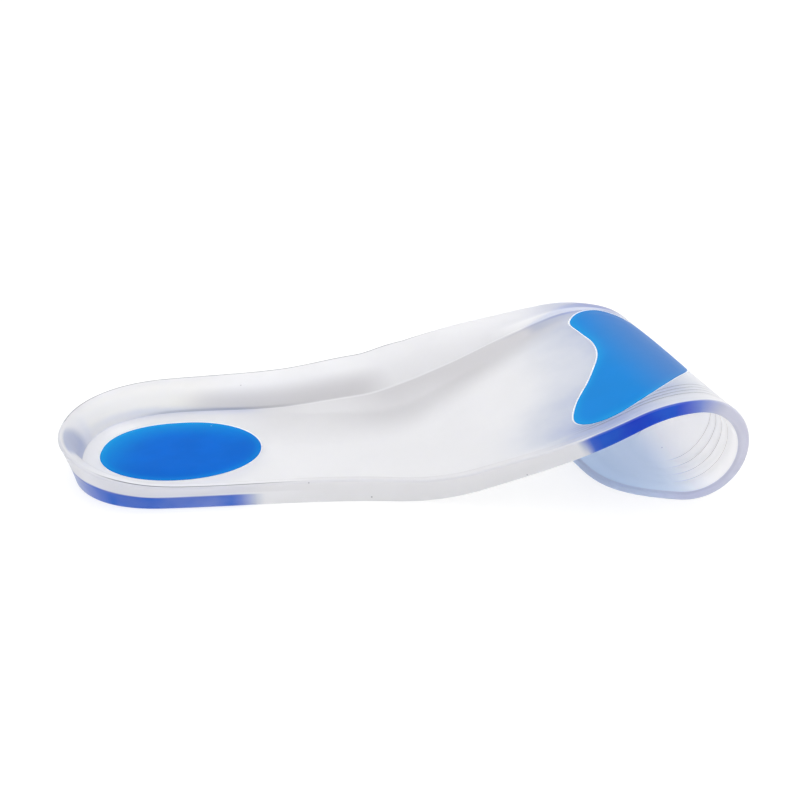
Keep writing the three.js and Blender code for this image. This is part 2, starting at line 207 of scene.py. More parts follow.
class InsoleSizes(bpy.types.PropertyGroup):
    """Sizes of the insole's details"""
    rim_round: FloatProperty(
        name="Rim rounding", description="Radius of the rim's outer edge",
        default=0.0006, unit='LENGTH', subtype='DISTANCE', precision=5)
    sole_round: FloatProperty(
        name="Sole rounding", description="Radius of the edge between the sole and the outer wall",
        default=0.001, unit='LENGTH', subtype='DISTANCE', precision=5)
    pad_depth: FloatProperty(
        name="Pad depth", description="How far the gel pads go under the floor",
        default=0.0022, unit='LENGTH', subtype='DISTANCE', precision=5)
    pad_proud: FloatProperty(
        name="Pad height", description="How far the edge of the gel pads stands over the floor",
        default=0.00005, unit='LENGTH', subtype='DISTANCE', precision=5)
    pad_crown: FloatProperty(
        name="Pad crown", description="How much higher the middle of the gel pads is than their edge",
        default=0.00025, unit='LENGTH', subtype='DISTANCE', precision=5)
    pad_round: FloatProperty(
        name="Pad rounding", description="Radius of the gel pads' upper edge",
        default=0.00018, unit='LENGTH', subtype='DISTANCE', precision=5)
    pocket_gap: FloatProperty(
        name="Pocket gap", description="Gap between a gel pad and its pocket",
        default=0.00003, unit='LENGTH', subtype='DISTANCE', precision=5)
    pocket_lip: FloatProperty(
        name="Pocket lip", description="Width of the bevel round the mouth of a pocket",
        default=0.00036, unit='LENGTH', subtype='DISTANCE', precision=5)
    pocket_drop: FloatProperty(
        name="Pocket drop", description="Depth of the bevel round the mouth of a pocket",
        default=0.00014, unit='LENGTH', subtype='DISTANCE', precision=5)
    trim_step: FloatProperty(
        name="Trim step", description="Distance between the trim lines at the toe's tip",
        default=0.0042, unit='LENGTH', subtype='DISTANCE', precision=5)
    trim_depth: FloatProperty(
        name="Trim depth", description="Depth of the trim lines",
        default=0.00014, unit='LENGTH', subtype='DISTANCE', precision=5)
    trim_half_width: FloatProperty(
        name="Trim half width", description="Half the width of a trim line",
        default=0.00022, unit='LENGTH', subtype='DISTANCE', precision=5)
    pad_points: IntProperty(
        name="Points round a pad", description="Corners of a gel pad's outline", default=220, min=24)


class InsoleFinishes(bpy.types.PropertyGroup):
    """Colours of the silicone and the gel, and of the light and shade painted into them"""
    silicone: FloatVectorProperty(
        name="Silicone", description="Milky clear silicone",
        default=(0.90, 0.90, 0.92), subtype='COLOR', min=0, max=1)
    # Painted shade: the lavender grey that refraction lays along the silicone's edges
    edge_tint: FloatVectorProperty(
        name="Edge tint", description="Lavender grey that thin edges of the silicone take on",
        default=(0.43, 0.44, 0.62), subtype='COLOR', min=0, max=1)
    # Painted light: the warm white of silicone that light falls through
    bright: FloatVectorProperty(
        name="Bright silicone", description="Silicone that the light falls through",
        default=(1.0, 0.978, 0.915), subtype='COLOR', min=0, max=1)
    # Painted shade: the grey where shade falls at the foot of the walls, beside the arch and inside the
    # rolled toe
    shade: FloatVectorProperty(
        name="Shade", description="Grey of the silicone at the foot of the walls, where it is thickest",
        default=(0.62, 0.61, 0.63), subtype='COLOR', min=0, max=1)
    # Dark grey both of real specks of dust and of painted shade in the trim lines, along the rim and at the
    # wall's foot
    line: FloatVectorProperty(
        name="Line", description="Dark grey of the trim lines, the rim's fine line and specks of dust",
        default=(0.11, 0.11, 0.14), subtype='COLOR', min=0, max=1)
    glow_faint: FloatVectorProperty(
        name="Faint glow", description="Silicone with a breath of the gel's blue in it",
        default=(0.62, 0.66, 0.76), subtype='COLOR', min=0, max=1)
    glow_pale: FloatVectorProperty(
        name="Pale glow", description="Silicone with a little of the gel's blue in it",
        default=(0.36, 0.43, 0.72), subtype='COLOR', min=0, max=1)
    glow_half: FloatVectorProperty(
        name="Half glow", description="Silicone with some of the gel's blue in it",
        default=(0.17, 0.25, 0.66), subtype='COLOR', min=0, max=1)
    glow_middle: FloatVectorProperty(
        name="Middle glow", description="Silicone with the gel some way behind it",
        default=(0.004, 0.11, 0.62), subtype='COLOR', min=0, max=1)
    glow_deep: FloatVectorProperty(
        name="Deep glow", description="Silicone with the gel right behind it",
        default=(0.0, 0.038, 0.57), subtype='COLOR', min=0, max=1)
    # Painted reflection: the gel's blue on the toe that lies rolled under it
    toe_blue: FloatVectorProperty(
        name="Toe blue", description="Grey blue of the toe that lies rolled under",
        default=(0.42, 0.535, 0.69), subtype='COLOR', min=0, max=1)
    # Painted highlight: the white line round the pads and along the crease of the arch wall
    lip: FloatVectorProperty(
        name="Pocket lip", description="Thin white line of silicone round the pads",
        default=(0.97, 0.97, 0.98), subtype='COLOR', min=0, max=1)
    gel: FloatVectorProperty(
        name="Gel", description="Blue gel of the pads",
        default=(0.001, 0.125, 0.58), subtype='COLOR', min=0, max=1)
    gel_edge: FloatVectorProperty(
        name="Thin gel", description="Lighter blue where the gel is thin",
        default=(0.006, 0.29, 0.66), subtype='COLOR', min=0, max=1)
    # Painted sheen: the violet blue of the gel round the bend
    gel_bend: FloatVectorProperty(
        name="Bent gel", description="Violet blue where the gel is stretched round the bend",
        default=(0.085, 0.19, 0.46), subtype='COLOR', min=0, max=1)
    gel_dust: FloatVectorProperty(
        name="Dust on the gel", description="Pale blue of the specks on the gel",
        default=(0.5, 0.6, 0.8), subtype='COLOR', min=0, max=1)


class StudioSettings(bpy.types.PropertyGroup):
    """Camera, light and floor of the picture"""
    lens: FloatProperty(
        name="Lens", description="Focal length of the camera", default=47.115, unit='CAMERA')
    distance: FloatProperty(
        name="Distance", description="From the camera to the point it looks at",
        default=0.320811, unit='LENGTH', subtype='DISTANCE', precision=5)
    elevation: FloatProperty(
        name="Elevation", description="Camera's angle over the horizon",
        default=math.radians(23.29), subtype='ANGLE')
    azimuth: FloatProperty(
        name="Azimuth", description="Camera's angle round the insole",
        default=math.radians(-4.683), subtype='ANGLE')
    tilt: FloatProperty(
        name="Tilt", description="Turn of the camera about its own line of sight",
        default=math.radians(0.497), subtype='ANGLE')
    target: FloatVectorProperty(
        name="Target", description="Point that the camera looks at",
        default=(0.003418, 0.001031, 0.018923), subtype='XYZ', unit='LENGTH', precision=5)
    surround: FloatProperty(
        name="Surround", description="Brightness of the studio walls", default=1.0, min=0)
    key_power: FloatProperty(
        name="Overhead light", description="Power of the large light overhead",
        default=2.1, unit='POWER')
    fill_power: FloatProperty(
        name="Front light", description="Power of the smaller light in front",
        default=0.8, unit='POWER')
    floor: FloatVectorProperty(
        name="Floor", description="Pale studio floor",
        default=(0.34, 0.34, 0.34), subtype='COLOR', min=0, max=1)
    floor_light: FloatProperty(
        name="Floor light", description="Brightness of the lit white table that is the floor",
        default=0.71, min=0)


def smooth_step(low, high, value):
    """Goes smoothly from 0 at low to 1 at high."""
    share = np.clip((value - low) / (high - low), 0, 1)
    return share * share * (3 - 2 * share)


def between(start, full, fade, end, value):
    """Goes smoothly from 0 at start to 1 at full, and back from 1 at fade to 0 at end."""
    return smooth_step(start, full, value) * (1 - smooth_step(fade, end, value))


def bell(value, middle, width):
    """Is 1 in the middle, and falls off smoothly on both sides of it."""
    return np.exp(-(((value - middle) / width) ** 2))


def column(table, key, along):
    """Smooth value of a table's column at places along the sole."""
    x = np.array([row["along"] for row in table], dtype=float)
    y = np.array([row[key] for row in table], dtype=float)
    slope = np.zeros(len(x))
    slope[1:-1] = (y[2:] - y[:-2]) / (x[2:] - x[:-2])
    at = np.clip(along, x[0], x[-1])
    i = np.clip(np.searchsorted(x, at) - 1, 0, len(x) - 2)
    span = x[i + 1] - x[i]
    t = (at - x[i]) / span
    rise = 3 * t**2 - 2 * t**3
    bend = (t**3 - 2 * t**2 + t) * slope[i] + (t**3 - t**2) * slope[i + 1]
    return y[i] * (1 - rise) + y[i + 1] * rise + span * bend


def edge_across(name, along):
    """Where the sole's edge lies across on one side: round heel, drawn-in waist, round toe."""
    side = SIDES[name]
    along = np.asarray(along, dtype=float)
    back = np.clip((HEEL_ALONG - along) / HEEL_ALONG, 0, 1)
    heel = side["sign"] * side["heel"] * (1 - back**HEEL_POWER) ** (1 / HEEL_POWER)
    flank = [
        {"along": HEEL_ALONG, "half": side["heel"]},
        {"along": side["waist_along"], "half": side["waist"]},
        {"along": side["ball_along"], "half": side["ball"]},
    ]
    waist = side["sign"] * column(flank, "half", along)
    ahead = np.clip((along - side["ball_along"]) / (LENGTH - side["ball_along"]), 0, 1)
    share = (1 - ahead ** side["toe_turn"]) ** (1 / side["toe_blunt"])
    toe = TIP_ACROSS + (side["sign"] * side["ball"] - TIP_ACROSS) * share
    return np.where(along < HEEL_ALONG, heel, np.where(along <= side["ball_along"], waist, toe))


def mid_across(along):
    """Middle of the sole."""
    return (edge_across("lateral", along) + edge_across("medial", along)) / 2


def floor_up(place):
    """Height of the floor that the foot stands on: level in the middle, swelling up to the walls' foot."""
    along, across = place[..., 0], place[..., 1]
    middle = mid_across(along)
    height = column(FLOOR, "thickness", along)
    swell = np.zeros_like(height)
    for name in ("lateral", "medial"):
        on_side = (across < middle) == (name == "lateral")
        reach = np.abs(edge_across(name, along) - middle) - column(EDGES[name], "inset", along)
        share = np.clip(np.abs(across - middle) / np.maximum(1, reach), 0, 1)
        rise = column(EDGES[name], "foot", along) - height
        swell = np.where(on_side, rise * share**SWELL_POWER, swell)
    return height + swell


def roll_stretches():
    """Side view of the rolled sole: straight and round stretches, each starting where the last one ends."""
    slope = math.radians(ROLL["slope"])
    rounds = ROLL["lift_radius"] + ROLL["crest_radius"]
    crest_up = NEUTRAL_UP + rounds * (1 - math.cos(slope)) + ROLL["ramp"] * math.sin(slope)
    loop_radius = (crest_up - TOE_REST) / 2
    lengths = [
        (ROLL["start"], 0.0),
        (ROLL["lift_radius"] * slope, slope),
        (ROLL["ramp"], 0.0),
        (ROLL["crest_radius"] * slope, -slope),
        (loop_radius * math.pi, -math.pi),
        (LENGTH, 0.0),
    ]
    stretches = []
    start, x, z, heading = 0.0, 0.0, NEUTRAL_UP, 0.0
    for length, turn in lengths:
        row = {"start": start, "length": length, "turn": turn, "x": x, "z": z, "heading": heading}
        stretches.append(row)
        x, z, heading = (float(value) for value in on_stretch(row, length))
        start += length
    return stretches


def on_stretch(row, distance):
    """Place and heading at a distance along one stretch."""
    heading = row["heading"] + row["turn"] * distance / row["length"]
    if row["turn"] == 0:
        x = row["x"] + distance * np.cos(heading)
        z = row["z"] + distance * np.sin(heading)
        return x, z, heading
    radius = row["length"] / row["turn"]
    x = row["x"] + radius * (np.sin(heading) - math.sin(row["heading"]))
    z = row["z"] + radius * (math.cos(row["heading"]) - np.cos(heading))
    return x, z, heading


STRETCHES = roll_stretches()


def rolled(flat):
    """Places in metres on the rolled insole, of points in millimetres on the flat one."""
    along, across, up = flat.T
    cos, sin = math.cos(ROLL_SKEW), math.sin(ROLL_SKEW)
    travel = (along - ROLL_PIVOT) * cos + across * sin + ROLL_PIVOT
    aside = across * cos - (along - ROLL_PIVOT) * sin
    x, z, heading = on_stretch(STRETCHES[0], travel)
    heading = np.full_like(travel, heading) if np.ndim(heading) == 0 else heading
    for row in STRETCHES[1:]:
        here = travel >= row["start"]
        x_here, z_here, heading_here = on_stretch(row, travel - row["start"])
        x = np.where(here, x_here, x)
        z = np.where(here, z_here, z)
        heading = np.where(here, heading_here, heading)
    x = x - (up - NEUTRAL_UP) * np.sin(heading) - ROLL_PIVOT
    z = z + (up - NEUTRAL_UP) * np.cos(heading)
    placed = np.column_stack([ROLL_PIVOT + x * cos - aside * sin, x * sin + aside * cos, z])
    return (placed - ORIGIN) * MM


def stations():
    """Places along the sole where its section is taken, close together at the heel, the bend and the toe."""
    parts = [HEEL_ALONG * (1 - np.cos(math.pi / 2 * np.arange(HEEL_SECTIONS) / HEEL_SECTIONS))]
    start = HEEL_ALONG
    for row, name in zip(STRETCHES, ("flat", "lift", "ramp", "crest", "loop")):
        end = row["start"] + row["length"] - (TOE_FAN if name == "loop" else 0)
        count = round((end - start) / SECTION_STEP[name])
        parts.append(start + (end - start) * np.arange(count) / count)
        start = end
    turn = math.pi / 2 * np.arange(TOE_SECTIONS + 1) / TOE_SECTIONS
    parts.append(start + (LENGTH - start) * np.sin(turn))
    return np.concatenate(parts)


def heel_rows(share):
    """Rows across the heel pad."""
    across = HEEL_PAD["across"] - HEEL_PAD["half_width"] * np.cos(math.pi * share)
    power = np.where(share > 0.5, HEEL_PAD["arch_back"], 2)
    back = HEEL_PAD["half_length"] * (1 - np.abs(np.cos(math.pi * share)) ** power) ** (1 / power)
    front = HEEL_PAD["half_length"] * np.sin(math.pi * share)
    return across, HEEL_PAD["along"] - back, HEEL_PAD["along"] + front


def forefoot_rows(share):
    """Rows across the forefoot's crescent, where the back and front edges run into each other at its tips."""
    last = len(FOREFOOT_PAD) - 1
    first, end = FOREFOOT_PAD[1], FOREFOOT_PAD[-2]
    before = {"across": first["across"], "back": first["front"], "front": first["back"]}
    after = {"across": end["across"], "back": end["front"], "front": end["back"]}
    table = [before, *FOREFOOT_PAD, after]
    i = np.minimum((share * last).astype(int), last - 1)
    t = share * last - i
    blended = []
    for key in ("across", "back", "front"):
        value = np.array([row[key] for row in table], dtype=float)
        a, b, c, d = value[i], value[i + 1], value[i + 2], value[i + 3]
        bend = 2 * a - 5 * b + 4 * c - d + t * (3 * (b - c) + d - a)
        blended.append(b + 0.5 * t * (c - a + t * bend))
    return blended


def pad_outline(rows, middle, count):
    """Even points round a pad, their outward directions, and the points of its middle line they look at."""
    share = (1 - np.cos(np.linspace(0, math.pi, 600))) / 2
    across, back, front = rows(share)
    loop = np.column_stack([np.append(back, front[-2::-1]), np.append(across, across[-2::-1])])
    loop_share = np.append(share, share[-2::-1])
    travel = np.append(0, np.cumsum(np.linalg.norm(np.diff(loop, axis=0), axis=1)))
    at = np.linspace(0, travel[-1], count, endpoint=False)
    place = np.column_stack([np.interp(at, travel, loop[:, k]) for k in (0, 1)])
    step = np.roll(place, -1, axis=0) - np.roll(place, 1, axis=0)
    out = np.column_stack([-step[:, 1], step[:, 0]])
    out /= np.linalg.norm(out, axis=1, keepdims=True)
    across, back, front = rows(np.clip(np.interp(at, travel, loop_share), *middle))
    return place, out, np.column_stack([(back + front) / 2, across])


def from_heel_pad(place):
    """How far back and how far towards the arch places lie from the heel pad's middle, in its half sizes."""
    back = (HEEL_PAD["along"] - place[..., 0]) / HEEL_PAD["half_length"]
    arch = (place[..., 1] - HEEL_PAD["across"]) / HEEL_PAD["half_width"]
    return back, arch


def past_heel_pad(place):
    """Distance outside the heel pad's outline, under 0 inside it."""
    back, arch = from_heel_pad(place)
    power = np.where((back > 0) & (arch > 0), HEEL_PAD["arch_back"], 2)
    reach = (np.abs(back) ** power + np.abs(arch) ** power) ** (1 / power)
    return (reach - 1) * HEEL_PAD["half_width"]


def past_forefoot_pad(place):
    """Distance outside the forefoot pad's outline, under 0 inside it, measured along and across."""
    across, back, front = forefoot_rows(np.linspace(0, 1, 400))
    back_here = np.interp(place[..., 1], across, back)
    front_here = np.interp(place[..., 1], across, front)
    beside = np.maximum(across[0] - place[..., 1], place[..., 1] - across[-1])
    return np.maximum(np.maximum(back_here - place[..., 0], place[..., 0] - front_here), beside)


def deselect_all():
    """Leaves nothing selected, so that the next tool acts on what it makes."""
    bpy.ops.object.select_all(action='DESELECT')


def select_only(obj):
    """Selects one object, so that the next tool acts on it alone."""
    deselect_all()
    obj.select_set(True)
    bpy.context.view_layer.objects.active = obj


def place_ring(mesh, ring, masks):
    """Moves the ring of corners that is selected in edit mode to its place, and notes its masks."""
    form = bmesh.from_edit_mesh(mesh)
    spot = form.verts.layers.int["spot"]
    layers = {name: form.verts.layers.float[name] for name in masks}
    for corner in form.verts:
        if corner.select:
            corner.co = ring[corner[spot]] * MM
            for name, layer in layers.items():
                corner[layer] = masks[name][corner[spot]]
    bmesh.update_edit_mesh(mesh)


def ringed_form(name, rings, masks):
    """Closed form, modelled flat: a circle, extruded ring by ring and closed along its middle."""
    deselect_all()
    count = len(rings[0])
    bpy.ops.mesh.primitive_circle_add(vertices=count, radius=0.03, fill_type='NOTHING')
    obj = bpy.context.object
    obj.name = obj.data.name = name
    mesh = obj.data
    mesh.attributes.new("spot", 'INT', 'POINT').data.foreach_set("value", range(count))
    for mask in masks:
        mesh.attributes.new(mask, 'FLOAT', 'POINT')
    mesh.attributes.new("pocket", 'FLOAT', 'FACE')
    bpy.ops.object.mode_set(mode='EDIT')
    bpy.ops.mesh.select_mode(type='VERT')
    bpy.ops.mesh.select_all(action='SELECT')
    for i, ring in enumerate(rings):
        if i:
            bpy.ops.mesh.extrude_region_move()
        place_ring(mesh, ring, {mask: values[i] for mask, values in masks.items()})
    bpy.ops.mesh.select_all(action='SELECT')
    bpy.ops.mesh.remove_doubles(threshold=1e-6)
    bpy.ops.mesh.normals_make_consistent(inside=False)
    bpy.ops.object.mode_set(mode='OBJECT')
    mesh.attributes.remove(mesh.attributes["spot"])
    if not mesh.polygons:
        raise RuntimeError(f"{name} has no faces")
    return obj


def trim_insets(inset, along, face, sizes):
    """How far in from the sole's edge each trim line of a face runs."""
    parted = smooth_step(face["part"], face["apart"], along)
    step = TRIM["closest"] + (sizes.trim_step / MM - TRIM["closest"]) * parted
    return [inset + TRIM["first"] + line * step for line in range(1, TRIM["lines"] + 1)]


def heel_band(along, up):
    """Blue of the heel pad, seen through the lower half of the wall round the heel."""
    top = HEEL_BAND["top"] + HEEL_BAND["rise"] * (1 - smooth_step(0, HEEL_BAND["level"], along))
    under = 1 - smooth_step(top - 0.25, top + 0.15, up)
    line = bell(up, top - 0.2, 0.35) * (1 - smooth_step(*HEEL_BAND["line_end"], along))
    paler = 0.54 + 0.46 * smooth_step(*HEEL_BAND["pale"], along)
    return (1 - smooth_step(*HEEL_BAND["end"], along)) * (0.69 * under * paler + 0.24 * line)


def forefoot_band(along, up, rim):
    """Blue of the forefoot pad, seen through the edge of the sole beside it."""
    begin = smooth_step(*FOREFOOT_BAND["start"], along + 0.16 * up)
    end = 1 - smooth_step(*FOREFOOT_BAND["end"], along)
    deeper = 0.8 + 0.2 * smooth_step(*FOREFOOT_BAND["deepen"], along)
    top = np.minimum(rim, FOREFOOT_BAND["top"])
    return begin * end * deeper * (1 - smooth_step(top - 0.2, top + 0.02, up))


def sole_glow(place):
    """Blue of the pads that shows through the sole under them."""
    under_heel = 1 - smooth_step(-3, 4, past_heel_pad(place))
    under_ball = 1 - smooth_step(-3, 4, past_forefoot_pad(place))
    return np.maximum(0.5 * under_heel, 0.55 * under_ball)


def floor_glow(place):
    """Faint blue painted into the floor close to the pads, as their bounced light and as lavender shade, most
    of all beside the forefoot's pad at the outer edge.
    """
    along, across = place[:, 0], place[:, 1]
    round_heel = bell(np.maximum(0, past_heel_pad(place)), 0, 2.5)
    round_ball = bell(np.maximum(0, past_forefoot_pad(place)), 0, 19)
    round_ball *= 1 - 0.55 * smooth_step(176, 192, along)
    beside = bell(across, -38, 9) * between(132, 150, 176, 194, along)
    return 0.012 * round_heel + 0.2 * round_ball + 0.09 * beside


def heel_light(place):
    """Painted glow of the light that falls through the wall onto the floor behind the heel pad, most of all
    at its arch side.
    """
    back, arch = from_heel_pad(place)
    return 0.16 * smooth_step(0.5, 1.0, back) + 0.4 * bell(back, 0.78, 0.26) * bell(arch, 0.82, 0.24)


def arch_shade(along, inward):
    """Painted soft grey shade in the floor beside the arch wall, but for its very foot."""
    width = 20 - 0.18 * (along - 100)
    start = (-0.2 + 0.45 * smooth_step(108, 132, along)) * width
    near = (1 - smooth_step(start, 1.3 * width, inward)) * smooth_step(0.0, 0.5, inward)
    strength = 0.36 * smooth_step(44, 64, along) + 0.56 * smooth_step(74, 104, along)
    return near * strength * (1 - smooth_step(152, 176, along))


class BodyForm:
    """The flat body as rings with masks, from the middle of its sole round the rim to that of its floor."""

    def __init__(self, sizes):
        one_way = stations()
        along = np.concatenate([one_way, one_way[-2:0:-1]])
        self.sizes = sizes
        self.along = along
        self.medial = np.arange(len(along)) >= len(one_way)
        self.edge = np.column_stack([along, self.by_side(lambda side: edge_across(side, along))])
        step = np.roll(self.edge, -1, axis=0) - np.roll(self.edge, 1, axis=0)
        self.out = np.column_stack([step[:, 1], -step[:, 0]])
        self.out /= np.linalg.norm(self.out, axis=1, keepdims=True)
        spine_along = np.clip(along, *SPINE)
        self.spine = np.column_stack([spine_along, mid_across(spine_along)])
        self.to_spine = self.spine - self.edge
        self.to_spine /= -np.sum(self.to_spine * self.out, axis=1, keepdims=True)
        self.rim = self.edge_value("rim")
        self.lean = self.edge_value("lean")
        self.inset = self.edge_value("inset")
        self.round_rim = sizes.rim_round / MM
        self.round_low = sizes.sole_round / MM
        self.half_line = sizes.trim_half_width / MM
        self.line_depth = sizes.trim_depth / MM
        self.trim_line = self.by_side(lambda side: smooth_step(*TRIM_START[side], along))
        self.rings = []
        self.masks = {name: [] for name in MASKS}

    def by_side(self, value):
        """Value of each corner, from the value for the side that it is on."""
        return np.where(self.medial, value("medial"), value("lateral"))

    def edge_value(self, key):
        """Column of the edge's table at each corner."""
        return self.by_side(lambda side: column(EDGES[side], key, self.along))

    def tint(self, name):
        """How much each corner has of a tint of the edge."""
        row = TINTS[name]
        on_side = self.medial == (row["side"] == "medial")
        return row["strength"] * on_side * between(*row["along"], self.along)

    def inward(self, distance):
        """Places at a distance straight in from the sole's edge."""
        return self.edge - self.out * np.broadcast_to(distance, self.along.shape)[:, None]

    def towards_spine(self, distance):
        """Places at a distance in from the sole's edge, on the way to its middle line."""
        return self.edge + self.to_spine * distance[:, None]

    def add(self, place, up, **values):
        """Adds a ring, with the masks that are given and none of the others."""
        values["made"] = 1.0
        self.rings.append(np.column_stack([place, np.broadcast_to(up, self.along.shape)]))
        for name in MASKS:
            value = np.asarray(values.get(name, 0.0), dtype=float)
            self.masks[name].append(np.broadcast_to(value, self.along.shape))

    def sole_ring(self, place, up=0.0, line=0.0):
        """Adds a ring of the sole: blue under the pads, the gel's painted reflected blue at the toe, and
        painted light, painted shade and a painted glow where it is rolled in.
        """
        forward, across = place.T
        light = between(*SOLE_LIGHT, forward)
        blue = smooth_step(*SOLE_BLUE, forward + SOLE_BLUE_SKEW * across)
        self.add(
            place, up, gel_glow=sole_glow(place), trim_line=line, bright=0.75 * light,
            toe_blue=0.85 * blue + 0.15 * smooth_step(*SOLE_TIP_BLUE, forward),
            shade=0.34 * light + 0.26 * between(*SOLE_TURN, forward),
            lit_through=smooth_step(*SOLE_LIT, forward))

    def model_sole(self):
        """Adds the sole from its middle to its edge, with its trim lines."""
        line = TRIM_SOLE["depth"] * self.trim_line * (1 - smooth_step(*TRIM_SOLE_END, self.along))
        insets = trim_insets(self.inset, self.along, TRIM_SOLE, self.sizes)
        inmost = self.towards_spine(insets[-1] + 2 * self.half_line)
        for share in MIDDLE_SHARES[::-1]:
            self.sole_ring(self.spine + (inmost - self.spine) * share)
        for inset in insets[::-1]:
            self.sole_ring(self.towards_spine(inset + self.half_line))
            self.sole_ring(self.towards_spine(inset), up=self.line_depth * line, line=line)
            self.sole_ring(self.towards_spine(inset - self.half_line))
        self.sole_ring(self.inward(0.5 * (self.inset + self.round_low)))

    def edge_ring(self, outward, up, tint=0.0, line=0.0):
        """Adds a ring of the outer wall: blue where gel shows; round the toe, painted lavender refraction
        shade, the gel's painted reflected blue and a painted glow; painted grey shade at the waist and the
        heel.
        """
        toe = smooth_step(*TOE_BLUE, self.along)
        tip = smooth_step(*TIP_BLUE, self.along)
        lavender = (0.62 + 0.2 * toe) * smooth_step(*TOE_LAVENDER, self.along) * (1 - 0.55 * tip)
        heel_grey = self.tint("heel_grey") * smooth_step(4.4, 4.9, up)
        heel_end_grey = self.tint("heel_end_grey") * smooth_step(3.8, 4.6, up)
        self.add(
            self.inward(-outward), up, edge_tint=np.maximum(tint, lavender), trim_line=line,
            gel_glow=np.maximum(heel_band(self.along, up), forefoot_band(self.along, up, self.rim)),
            toe_blue=0.55 * toe + 0.35 * tip, lit_through=0.4 * toe,
            shade=0.22 * self.tint("waist_grey") + heel_grey + heel_end_grey)

    def model_outer_wall(self):
        """Adds the rounded edge of the sole, the outer wall, and the rounded rim with its painted shade line.
        """
        rim, lean, low, top = self.rim, self.lean, self.round_low, self.round_rim
        crest_line = 0.8 * self.tint("crest") * smooth_step(*CREST_LINE_START, self.along)
        rim_line = np.maximum(self.tint("far_rim_line"), crest_line) + self.tint("near_rim_line")
        for turn in ROUND_TURNS:
            self.edge_ring(low * (math.sin(turn) - 1), np.full_like(rim, low * (1 - math.cos(turn))))
        for rise in WALL_RISES[1:]:
            self.edge_ring(lean * (0.72 * rise + 0.28 * rise**2), low + (rim - top - low) * rise)
        for turn in ROUND_TURNS[1:]:
            line = rim_line * (turn == ROUND_TURNS[-1])
            self.edge_ring(lean + top * (math.cos(turn) - 1), rim + top * (math.sin(turn) - 1), 0.1, line)

    def model_inner_wall(self):
        """Adds the inner wall from the rim to its foot, with the heel's blue patch, painted shade, painted
        light at the heel, a painted white crease highlight and painted shade lines at the rim and the foot.
        """
        foot_up = floor_up(self.inward(self.inset))
        wall = np.maximum(0, self.rim - foot_up)
        rim_out = self.lean - self.round_rim
        behind = self.tint("near_patch") + self.tint("far_patch")
        arch_grey = self.tint("arch_grey") * (0.76 + 0.12 * smooth_step(40, 75, self.along))
        bright = self.tint("heel_bright")
        for way in WALL_WAYS:
            place = self.inward((rim_out + self.inset) * way - rim_out)
            up = foot_up + wall * (1 - 0.2 * way - 0.8 * way**3.2)
            reach = 1 - smooth_step(8 * way - 8, 8 * way - 1, self.edge[:, 1])
            patch = behind * smooth_step(0.08, 0.22, way) * reach
            lavender = 0.6 * self.tint("crest") * (1 - smooth_step(0.8, 0.95, way))
            greys = (
                arch_grey * smooth_step(0.52, 0.92, way),
                0.3 * self.tint("waist_grey"),
                self.tint("heel_foot_grey") * smooth_step(0.88, 0.99, way),
                0.12 * bright * (1 - smooth_step(0.3, 0.6, way)),
                self.tint("arch_top_grey"),
            )
            rim_line = self.tint("near_rim_line") * (way == WALL_WAYS[0])
            foot_line = self.tint("foot_line") * (way == WALL_WAYS[-1])
            self.add(
                place, up, gel_glow=floor_glow(place) + 0.23 * patch,
                edge_tint=np.maximum(0.2 * patch, lavender),
                shade=np.maximum.reduce(greys), trim_line=rim_line + foot_line,
                bright=bright * (0.5 * smooth_step(0.1, 0.5, way) + 0.5 * smooth_step(0.55, 0.9, way)),
                crease=self.tint("white_crease") * smooth_step(0.74, 0.86, way))

    def floor_ring(self, place, down=0.0, line=0.0):
        """Adds a ring of the floor: painted blue bounce light and shade near the pads, painted shade beside
        the arch wall, a painted glow behind the heel pad, and at its end a painted white crease highlight and
        a painted blue shadow streak.
        """
        from_foot = np.hypot(*(place - self.edge).T) - self.inset
        # Painted blue shadow just inside the wall's foot near the arch's crest
        streak = self.tint("blue_streak") * bell(from_foot, 1.0, 0.5)
        self.add(
            place, floor_up(place) - down, gel_glow=floor_glow(place) + streak, trim_line=line,
            shade=np.where(self.medial, arch_shade(self.along, from_foot), 0), lit_through=heel_light(place),
            crease=self.tint("white_crease") * (1 - smooth_step(0.3, 0.9, from_foot)))

    def model_floor(self):
        """Adds the floor from the wall's foot to its middle, with its trim lines and the painted shade line
        at the wall's foot.
        """
        for step in FOOT_STEPS:
            foot_line = self.tint("foot_line") * (step == FOOT_STEPS[0])
            self.floor_ring(self.inward(self.inset + step), line=foot_line)
        line = TRIM_FLOOR["depth"] * self.trim_line
        insets = trim_insets(self.inset, self.along, TRIM_FLOOR, self.sizes)
        inmost = self.towards_spine(insets[-1] + 2 * self.half_line)
        for inset in insets:
            self.floor_ring(self.towards_spine(inset - self.half_line))
            self.floor_ring(self.towards_spine(inset), down=self.line_depth * line, line=line)
            self.floor_ring(self.towards_spine(inset + self.half_line))
        for share in MIDDLE_SHARES:
            self.floor_ring(self.spine + (inmost - self.spine) * share)


def body_rings(sizes):
    """Rings and masks of the flat body."""
    form = BodyForm(sizes)
    form.model_sole()
    form.model_outer_wall()
    form.model_inner_wall()
    form.model_floor()
    return form.rings, form.masks


def over_floor(flat, up):
    """Ring of corners at a height over the floor."""
    return np.column_stack([flat, floor_up(flat) + up])


